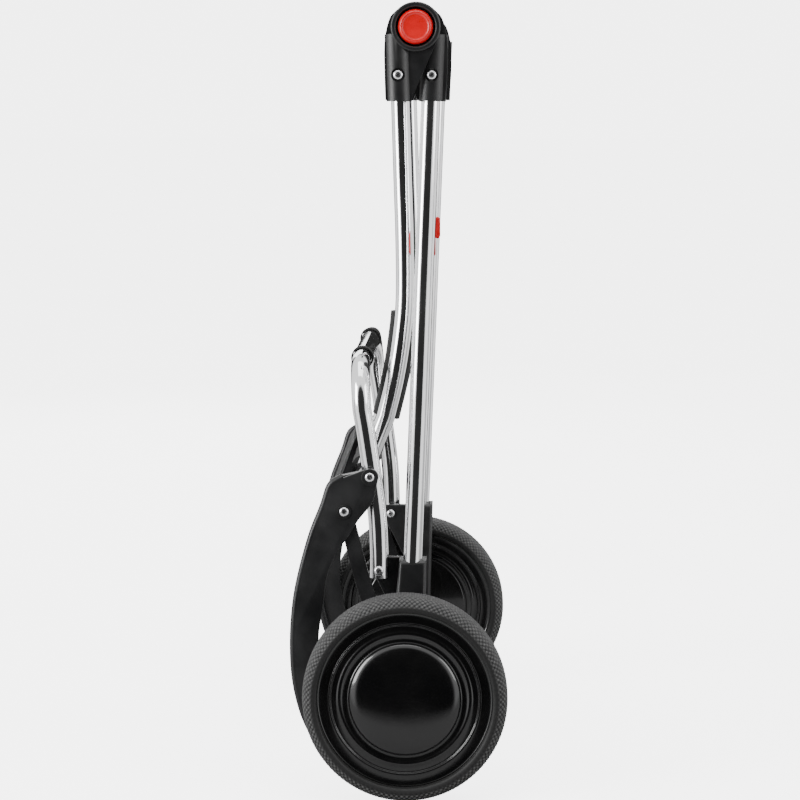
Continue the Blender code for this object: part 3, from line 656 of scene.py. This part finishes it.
def screw_head(centre, side, reach, name, body, replaced, shank, nut):
    """Screw with a hexagon socket; centre.x is the seat of its head, nut the length of a dome nut or 0."""
    dome = [(0, HEAD_HEIGHT)]
    for angle in (15, 30, 45, 60, 75, 88):
        turn = math.radians(angle)
        dome.append((HEAD_RADIUS * math.sin(turn), HEAD_HEIGHT * (0.22 + 0.78 * math.cos(turn))))
    profile = dome + [(HEAD_RADIUS, 0.0002), (HEAD_RADIUS - 0.0002, 0), (shank, 0)]
    if nut:
        profile += [(shank, nut - reach), (NUT_RADIUS, nut - reach), (NUT_RADIUS, nut * 0.55 - reach),
                    (0.0036, nut * 0.2 - reach), (0.0022, 0.0001 - reach), (0, -reach)]
    else:
        profile += [(shank, -reach), (0, -reach)]
    head = publish(name, spun(profile, centre, side, 48), STEEL, body, replaced)
    socket = cylinder(centre, 0.0017, HEAD_HEIGHT - 0.0014, HEAD_HEIGHT + 0.002, side, 6)
    return apply_boolean(head, [socket])


def make_screws():
    """All the screws, each on the body that holds it."""
    rows = (("socket_screw", "frame", SHANK_RADIUS, 0.0), ("cover_screw", "handle", SHANK_RADIUS, 0.0),
            ("platform_pivot_screw", "frame", SHANK_RADIUS, NUT_LENGTH),
            ("arm_screw", "platform", SHOULDER_SHANK, 0.0), ("link_screw", "front_arms", SHANK_RADIUS, 0.0))
    for name, side in SIDES:
        for label, body, shank, nut in rows:
            low, high = span_x(label)
            middle = middle_of(name + "_" + label)
            seat = high - HEAD_HEIGHT
            centre = Vector((side * seat, middle.y, middle.z))
            screw_head(centre, side, seat - low, name + "_" + label + "_hex", body, (name + "_" + label,),
                       shank, nut)


# ---------------------------------------------------------------- arms, links, brackets
ARM_FRONT_EDGE = ((-0.0640, 0.3130), (-0.0773, 0.3035), (-0.0850, 0.2820), (-0.0966, 0.2520), (-0.1074, 0.2120),
                  (-0.1128, 0.1810), (-0.1149, 0.1450), (-0.1129, 0.1090), (-0.1056, 0.0770), (-0.0955, 0.0540),
                  (-0.0840, 0.0370))
ARM_REAR_EDGE = ((-0.0620, 0.0500), (-0.0740, 0.0780), (-0.0840, 0.115), (-0.0860, 0.150), (-0.0812, 0.1855),
                 (-0.0770, 0.214), (-0.0667, 0.237), (-0.0560, 0.252), (-0.0478, 0.266), (-0.0330, 0.285),
                 (-0.0290, 0.300))
FOOT_TILT = math.radians(33.4)
FOOT_TOP = (-0.0800, 0.0330)   # where the rubber foot's middle line ends
FOOT_CLEARANCE = 0.0103        # from there up to the end of the plate
ARM_PLATE = 0.004
BOSS_RADIUS = 0.0082
LINK_BOSS_SHARE = 0.84


def foot_cutter(side):
    """Tilted block that takes away the arm's end where the rubber foot sits."""
    rise = Vector((0, -math.sin(FOOT_TILT), math.cos(FOOT_TILT)))
    top = side_point(*FOOT_TOP) + rise * FOOT_CLEARANCE
    block = bmesh.new()
    bmesh.ops.create_cube(block, size=1.0)
    bmesh.ops.scale(block, vec=(0.06, 0.12, 0.08), verts=block.verts)
    bmesh.ops.transform(block, matrix=Matrix.Rotation(FOOT_TILT, 4, "X"), verts=block.verts)
    bmesh.ops.translate(block, vec=top - rise * 0.04 + Vector((side * ARM_OUT, 0, 0)), verts=block.verts)
    return block


def make_arms():
    """Curved arms: a flat plate with a thick, round front edge, and a rubber foot."""
    bead = (ARM_OUT - FLANGE_IN) / 2
    front = curve_through(ARM_FRONT_EDGE, 8)
    rear = curve_through(ARM_REAR_EDGE, 8)
    inside = []
    for index, spot in enumerate(front):
        heading = front[min(index + 1, len(front) - 1)] - front[max(index - 1, 0)]
        inside.append(spot + Vector((-heading.y, heading.x)).normalized() * bead)
    end = arc((ARM_PIVOT.y - AXLE.y, ARM_PIVOT.z), 0.0085, -20, 110, 16)
    outline = [(AXLE.y + y, z) for y, z in [tuple(spot) for spot in inside + rear] + end]
    eye = HEAD_RADIUS + 0.0002
    for name, side in SIDES:
        arm = publish(name + "_arm_shell", slab(outline, ARM_OUT - ARM_PLATE, ARM_OUT, side, 0.0009, 3), NYLON,
                      "front_arms", (name + "_arm",))
        route = [side_point(spot.x, spot.y, side * (ARM_OUT - bead)) for spot in inside]
        apply_boolean(arm, [swept(route, bead, 24)], "UNION")
        apply_boolean(arm, [foot_cutter(side)])
        refined(name + "_foot", RUBBER, "front_arms", 0.0012)
        ring = soften([(eye, 0.0), (BOSS_RADIUS, 0.0), (BOSS_RADIUS, 0.0012), (eye, 0.0012)], 0.0004)
        for label, spot, share in (("_arm_boss", ARM_PIVOT, 1.0),
                                   ("_link_boss", middle_of(name + "_link_screw"), LINK_BOSS_SHARE)):
            centre = Vector((side * (ARM_OUT + 0.00005), spot.y, spot.z))
            sized = [(radius if radius < 0.006 else radius * share, height) for radius, height in ring]
            publish(name + label, spun(sized, centre, side, 48), NYLON, "front_arms")


def make_links():
    """The two bars between the axle and the arms."""
    for name, _ in SIDES:
        refined(name + "_link", NYLON, name + "_link_bar", 0.0009)


BRACKET_RIM = 0.004       # plastic in front of and behind the upright
BRACKET_BOSS = 0.017
EAR_RADIUS = 0.010
EAR_FOOT = 0.150
PIN_RADIUS = 0.0028       # holes for the pivot screw and for the axle
SHAFT_RADIUS = 0.0053


def make_brackets():
    """Axle brackets, rounded: a column round the upright and a thin ear to the platform pivot."""
    inner = span_x("axle_bracket")[0]
    column_out = ARM_OUT - 0.0095
    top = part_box("left_axle_bracket")[1][2]
    half = TUBE_RADIUS + BRACKET_RIM
    axle = (AXLE.y, AXLE.z)
    pivot = (PLATFORM_PIVOT.y, PLATFORM_PIVOT.z)
    middle = upright_y(top)
    rear = (middle + half, top)
    front = (middle - half, top)
    first = tangent(axle, BRACKET_BOSS, rear, -1)
    last = tangent(axle, BRACKET_BOSS, front, 1)
    column = [rear, front] + arc(axle, BRACKET_BOSS, last, first + 360, 40)
    ear = ([(middle, top - 0.0005)] + arc(pivot, EAR_RADIUS, 80, 240, 24)
           + [(AXLE.y - 0.004, EAR_FOOT), (middle, EAR_FOOT)])
    for name, side in SIDES:
        bracket = publish(name + "_bracket_casting", slab(column, inner, column_out, side, 0.0042, 6), NYLON,
                          "frame", (name + "_axle_bracket",))
        bore = tube_bore(FRAME_X, upright_y, top - 0.042, top + CLEAR, side)
        pin = cylinder(Vector((0, *pivot)), PIN_RADIUS, inner - CLEAR, SOCKET_OUT, side, 32)
        shaft = cylinder(Vector((0, *axle)), SHAFT_RADIUS, inner - CLEAR, SOCKET_OUT + 2 * CLEAR, side, 48)
        apply_boolean(bracket, [slab(ear, inner, SOCKET_IN + 0.0015, side, 0.0012, 4)], "UNION")
        apply_boolean(bracket, [bore, pin, shaft])
        refined(name + "_strap_clip", RED, "frame", 0.0012)


def make_axle():
    """Cross tube between the brackets; the axle inside it stays as it is."""
    low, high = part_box("axle_tube")
    reach = high[0]
    radius = (high[2] - low[2]) / 2
    bore = radius - 0.004
    profile = soften([(bore, reach), (radius, reach), (radius, -reach), (bore, -reach)], 0.0008)
    publish("axle_cross_tube", spun(profile, Vector((0, AXLE.y, AXLE.z)), 1, 64), NYLON, "frame", ("axle_tube",))


# ---------------------------------------------------------------- wheels
SHOULDER_HEIGHT = 0.0095
SHOULDER_WIDTH = 0.0120
TREAD_DEPTH = 0.0013
TREAD_PITCH = 0.0052      # across the tyre
TREAD_WAVES = 60
BEAD_DEPTH = 0.0072       # how far the tyre's lip reaches in over the rim
RIM_WALL = 0.0028
HUB_BORE = 0.0114
HUB_OUTER = 0.0142
FACE_INSET = 0.009
RIDGE_INSET = 0.013
CAP_INSET = 0.0085
CAP_WALL = 0.0018


def tread_height(turn, along):
    """Fine knurled tread: crossed diagonal grooves between small rounded diamonds."""
    lean = along * math.pi / TREAD_PITCH
    first = abs(math.sin(TREAD_WAVES * turn + lean))
    second = abs(math.sin(TREAD_WAVES * turn - lean))
    return TREAD_DEPTH * min(1.0, 1.6 * first * second)


def make_tyre(name, side, centre, body):
    """Tyre with round shoulders; the tread's grooves are pressed in from the outer surface."""
    half = WHEEL_HALF
    seat = RIM_RADIUS + GAP
    start = WHEEL_RADIUS - SHOULDER_HEIGHT
    flat = half - SHOULDER_WIDTH
    lip = half - BEAD_DEPTH
    wall = [(seat, lip), (seat - 0.0010, lip), (seat - 0.0010, half - 0.0022),
            (seat - 0.0002, half - 0.0010), (seat + 0.0014, half - 0.0003), (start, half)]
    shoulder = [(start + SHOULDER_HEIGHT * math.sin(math.radians(step * 5)),
                 flat + SHOULDER_WIDTH * math.cos(math.radians(step * 5))) for step in range(1, 19)]
    tread = [(WHEEL_RADIUS, flat - 2 * flat * step / 16) for step in range(1, 16)]
    upper = wall + shoulder
    low = [(radius, -height) for radius, height in reversed(upper)]
    shape = spun(upper + tread + low, centre, side, 720)
    raised = shape.verts.layers.float.new("tread")
    for vert in shape.verts:
        local = vert.co - centre
        radius = math.hypot(local.y, local.z)
        if radius < start + 0.0004:
            continue
        beyond = max(0.0, abs(local.x) - flat)
        along = abs(local.x) - beyond + 0.5 * (SHOULDER_HEIGHT + SHOULDER_WIDTH) * math.atan2(
            beyond / SHOULDER_WIDTH, (radius - start) / SHOULDER_HEIGHT)
        along = math.copysign(along, local.x)
        fade = min(1.0, (radius - start) / 0.0015)
        height = tread_height(math.atan2(local.z, local.y), along)
        depth = (TREAD_DEPTH - height) * fade
        # this raised share drives the painted highlight on the tread blocks; grooves and side walls get none
        vert[raised] = fade * height / TREAD_DEPTH
        spread_x = math.copysign(beyond / SHOULDER_WIDTH, local.x)
        outward = Vector((0, local.y, local.z)).normalized() * ((radius - start) / SHOULDER_HEIGHT)
        vert.co -= (outward + Vector((spread_x, 0, 0))).normalized() * depth
    publish(name + "_tread_tyre", shape, RUBBER, body, (name + "_tyre",), 60)


def rim_profile(rise):
    """Face of a rim half from the centre out: a soft ring, then a thin sharp ridge in a smooth black face."""
    base = WHEEL_HALF - FACE_INSET
    ridge = RIM_RADIUS - RIDGE_INSET
    return [(HUB_OUTER, base + rise), (0.024, base + rise * 0.92), (0.036, base + rise * 0.68),
            (0.047, base + rise * 0.3), (CAP_RADIUS - 0.001, base), (CAP_RADIUS + 0.0008, base - 0.0007),
            (CAP_RADIUS + 0.0030, base - 0.0008), (CAP_RADIUS + 0.0055, base - 0.0002),
            (CAP_RADIUS + 0.0080, base + 0.0008), (CAP_RADIUS + 0.0100, base + 0.0006),
            (CAP_RADIUS + 0.0120, base - 0.0002), (ridge - 0.0026, base - 0.0003), (ridge - 0.0012, base),
            (ridge - 0.0006, base + 0.0012), (ridge, base + 0.0016), (ridge + 0.0006, base + 0.0012),
            (ridge + 0.0012, base), (ridge + 0.0035, base - 0.0002), (RIM_RADIUS - 0.0050, base + 0.0002),
            (RIM_RADIUS - 0.0024, base + 0.0008), (RIM_RADIUS - 0.0012, base + 0.0014),
            (RIM_RADIUS - 0.0002, base + 0.0014), (RIM_RADIUS, base + 0.0008)]


def make_wheels():
    """Both wheels: tyre, two rim halves and hub cap."""
    for name, side in SIDES:
        body = name + "_wheel"
        centre = Vector((side * WHEEL_X, AXLE.y, AXLE.z))
        make_tyre(body, side, centre, body)
        for label, way, rise in (("outer", side, 0.0), ("inner", -side, 0.004)):
            face = rim_profile(rise)
            back = [(radius, height - RIM_WALL) for radius, height in reversed(face[1:-4])]
            drum = RIM_RADIUS - RIM_WALL
            ends = [(RIM_RADIUS, 0.0002), (drum, 0.0002), (drum, face[-4][1] - RIM_WALL)]
            hub = [(HUB_OUTER, face[0][1] - RIM_WALL - 0.001), (HUB_OUTER, 0.0002), (HUB_BORE, 0.0002),
                   (HUB_BORE, face[0][1])]
            fine = [tuple(spot) for spot in curve_through(face, 3)]
            publish(body + "_" + label + "_shell", spun(fine + ends + back + hub, centre, way, 144), GLOSS, body,
                    (body + "_" + label + "_rim",), 50)
        make_cap(body, side, centre, body)


def make_cap(name, side, centre, body):
    """Smooth domed hub cap with a turned-down edge."""
    base = WHEEL_HALF - CAP_INSET
    rise = CAP_TOP - base
    steps = 24
    dome = [(0.0, base + rise)]
    for step in range(1, steps + 1):
        angle = math.radians(step * 3.75)
        height = rise * math.cos(angle) ** 0.9 if step < steps else 0.0
        dome.append((CAP_RADIUS * math.sin(angle) ** 0.94, base + height))
    inside = [((CAP_RADIUS - CAP_WALL) * math.sin(math.radians(90 - step * 15)),
               base + (rise - CAP_WALL) * math.cos(math.radians(90 - step * 15))) for step in range(7)]
    inside[-1] = (0.0, inside[-1][1])
    publish(name + "_dome_cap", spun(dome + inside, centre, side, 144), GLOSS, body, (name + "_hub_cap",), 60)


# ---------------------------------------------------------------- remaining CAD pieces


def finish_cad_pieces():
    """Give every carried-over solid the material of its slot."""
    slots = {row["node"]: row["material_slot"] for row in frame["record"]["subparts"]}
    for name, piece in frame["nodes"].items():
        finish = CAD_FINISHES[slots[name]]
        if not piece.material_slots:
            piece.data.materials.append(finish)
        for place in piece.material_slots:
            place.material = finish


# ---------------------------------------------------------------- studio
WHITE = (1, 1, 1, 1)
FLOOR_GLOW = 3.8          # the floor and the surroundings look white to the camera only
ROOM_GLOW = 5.0
PAPER_EDGE = (0.36, 0.46)  # half width of the paper, where it starts to fade and where it ends


def make_floor():
    """Plain pale floor."""
    shape = bmesh.new()
    bmesh.ops.create_grid(shape, x_segments=2, y_segments=2, size=30)
    mesh = bpy.data.meshes.new("studio_floor")
    shape.to_mesh(mesh)
    shape.free()
    floor = bpy.data.objects.new("studio_floor", mesh)
    floor.location = (0, 0, -0.0005)
    bpy.context.scene.collection.objects.link(floor)
    paint, tree, shader = base_material("pale_floor", (0.9, 0.9, 0.9), 0.9)
    shader.inputs["Specular IOR Level"].default_value = 0.0
    shader.inputs["Emission Color"].default_value = WHITE
    path = node(tree, "ShaderNodeLightPath", (-700, -500))
    paleness = node(tree, "ShaderNodeMix", (-250, 200), data_type="RGBA")
    paleness.inputs["A"].default_value = (0.35, 0.35, 0.35, 1)
    link(tree, path.outputs["Is Camera Ray"], paleness.inputs["Factor"])
    link(tree, tint(tree, grain(tree, 3, 2), (0.86, 0.86, 0.86), (0.90, 0.90, 0.90)), paleness.inputs["B"])
    link(tree, paleness.outputs["Result"], shader.inputs["Base Color"])
    glow = node(tree, "ShaderNodeMath", (-400, -500), operation="MULTIPLY")
    glow.inputs[1].default_value = FLOOR_GLOW
    link(tree, path.outputs["Is Camera Ray"], glow.inputs[0])
    link(tree, glow.outputs[0], shader.inputs["Emission Strength"])
    # the paper is narrow: beyond it reflections see the dark studio
    place = node(tree, "ShaderNodeTexCoord", (-1100, -800))
    parts = node(tree, "ShaderNodeSeparateXYZ", (-900, -800))
    link(tree, place.outputs["Object"], parts.inputs[0])
    sideways = node(tree, "ShaderNodeMath", (-700, -800), operation="ABSOLUTE")
    link(tree, parts.outputs["X"], sideways.inputs[0])
    paper = node(tree, "ShaderNodeMapRange", (-500, -800))
    paper.inputs["From Min"].default_value = PAPER_EDGE[0]
    paper.inputs["From Max"].default_value = PAPER_EDGE[1]
    paper.inputs["To Min"].default_value = 1.0
    paper.inputs["To Max"].default_value = 0.0
    link(tree, sideways.outputs[0], paper.inputs["Value"])
    seen = node(tree, "ShaderNodeMath", (-250, -700), operation="MAXIMUM")
    link(tree, paper.outputs["Result"], seen.inputs[0])
    link(tree, path.outputs["Is Camera Ray"], seen.inputs[1])
    link(tree, seen.outputs[0], shader.inputs["Alpha"])
    mesh.materials.append(paint)


def make_world():
    """White surroundings for the view; reflections also see two dark openings, left and right of the cart."""
    world = bpy.data.worlds.new("studio")
    bpy.context.scene.world = world
    world.use_nodes = True
    tree = world.node_tree
    tree.nodes.clear()
    output = node(tree, "ShaderNodeOutputWorld", (800, 0))
    place = node(tree, "ShaderNodeTexCoord", (-900, 0))
    parts = node(tree, "ShaderNodeSeparateXYZ", (-700, 0))
    link(tree, place.outputs["Generated"], parts.inputs[0])
    sideways = node(tree, "ShaderNodeMath", (-500, 0), operation="ABSOLUTE")
    link(tree, parts.outputs["X"], sideways.inputs[0])
    opening = node(tree, "ShaderNodeValToRGB", (-300, 0))
    opening.color_ramp.elements[0].position = 0.70
    opening.color_ramp.elements[0].color = (1.5, 1.5, 1.5, 1)
    opening.color_ramp.elements[1].position = 0.79
    opening.color_ramp.elements[1].color = (0.03, 0.03, 0.03, 1)
    link(tree, sideways.outputs[0], opening.inputs["Fac"])
    seen = node(tree, "ShaderNodeBackground", (200, 150))
    seen.inputs["Color"].default_value = WHITE
    seen.inputs["Strength"].default_value = ROOM_GLOW
    mirrored_room = node(tree, "ShaderNodeBackground", (200, -50))
    link(tree, opening.outputs["Color"], mirrored_room.inputs["Color"])
    mirrored_room.inputs["Strength"].default_value = 1.0
    path = node(tree, "ShaderNodeLightPath", (200, 400))
    choose = node(tree, "ShaderNodeMixShader", (500, 0))
    link(tree, path.outputs["Is Camera Ray"], choose.inputs["Fac"])
    link(tree, mirrored_room.outputs[0], choose.inputs[1])
    link(tree, seen.outputs[0], choose.inputs[2])
    link(tree, choose.outputs[0], output.inputs["Surface"])


def area_light(name, spot, target, size, power):
    """Rectangular lamp that faces a target."""
    lamp = bpy.data.lights.new(name, "AREA")
    lamp.shape = "RECTANGLE"
    lamp.size = size[0]
    lamp.size_y = size[1]
    lamp.energy = power
    holder = bpy.data.objects.new(name, lamp)
    holder.location = spot
    holder.rotation_euler = (Vector(target) - Vector(spot)).to_track_quat("-Z", "Y").to_euler()
    bpy.context.scene.collection.objects.link(holder)


def make_lights():
    """Four soft boxes round the cart."""
    middle = (0, 0, 0.35)
    area_light("front_softbox", (1.3, -2.1, 0.9), middle, (1.0, 1.6), 60)
    area_light("rear_softbox", (1.2, 2.4, 1.2), middle, (1.0, 1.6), 20)
    area_light("top_softbox", (0.2, 0.0, 2.6), middle, (1.8, 1.8), 24)
    area_light("far_side_softbox", (-2.2, -0.6, 1.3), middle, (1.2, 1.4), 18)


def make_camera():
    """Side view from the cart's left, from above its middle, with a vertical shift."""
    camera = bpy.data.objects.new("camera", bpy.data.cameras.new("camera"))
    bpy.context.scene.collection.objects.link(camera)
    camera.data.sensor_width = 36
    camera.data.lens = 96.9
    camera.data.shift_y = -0.30
    yaw = 0.0362
    pitch = -0.0316
    heading = Vector((-math.cos(yaw) * math.cos(pitch), -math.sin(yaw) * math.cos(pitch), math.sin(pitch)))
    camera.location = (2.2701, 0.0779, 0.6883)
    camera.rotation_euler = heading.to_track_quat("-Z", "Y").to_euler()
    bpy.context.scene.camera = camera


make_camera()
make_floor()
make_world()
make_lights()
make_uprights()
make_handle()
make_platform()
make_hubs()
make_screws()
make_arms()
make_links()
make_brackets()
make_axle()
make_wheels()
finish_cad_pieces()

bpy.context.view_layer.update()
